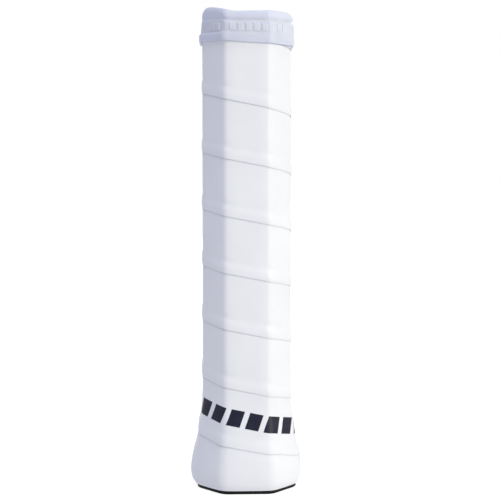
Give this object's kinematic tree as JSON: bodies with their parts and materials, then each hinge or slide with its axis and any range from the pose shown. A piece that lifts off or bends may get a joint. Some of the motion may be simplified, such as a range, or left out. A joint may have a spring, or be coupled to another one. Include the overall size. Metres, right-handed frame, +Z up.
{
  "type": "wound racket grip on its handle",
  "caption": "White replacement grip tape wound in a spiral up an eight-sided racket handle, with a flared butt cap and a rubber collar at the top.",
  "frame": {"origin": "on the handle's axis, in the plane that the butt cap's rim stands on", "axes": "+Z up the handle from the butt, X the wide way across the handle, Y the narrow way, with a broad facet facing -Y"},
  "size_m": [0.044, 0.0408, 0.189],
  "materials": {
    "grip_face_pu": "matte",
    "grip_felt": "matte",
    "adhesive_film": "satin",
    "collar_rubber": "satin",
    "finishing_vinyl": "satin",
    "pallet_foam": "matte",
    "bond_tape": "matte",
    "cap_nylon": "satin",
    "door_nylon": "satin",
    "badge_plastic": "gloss",
    "staple_steel": "satin"
  },
  "bodies": {
    "handle": {"pallet_front": "pallet_foam", "pallet_back": "pallet_foam", "shaft_bond_strips": "bond_tape", "butt_cap": "cap_nylon", "cap_staples": "staple_steel", "grip_start_staple": "staple_steel", "grip_adhesive": "adhesive_film", "grip_backing": "grip_felt", "grip_face": "grip_face_pu", "finishing_tape": "finishing_vinyl"},
    "collar": {"collar": "collar_rubber"},
    "door": {"cap_door": "door_nylon", "door_badge": "badge_plastic"}
  },
  "joints": [
    {"name": "collar_slide", "type": "slide", "parent": "handle", "child": "collar", "axis": [0, 0, 1], "range_m": [0, 0.03]},
    {"name": "door_pull", "type": "slide", "parent": "handle", "child": "door", "axis": [0, 0, -1], "range_m": [0, 0.007]}
  ]
}
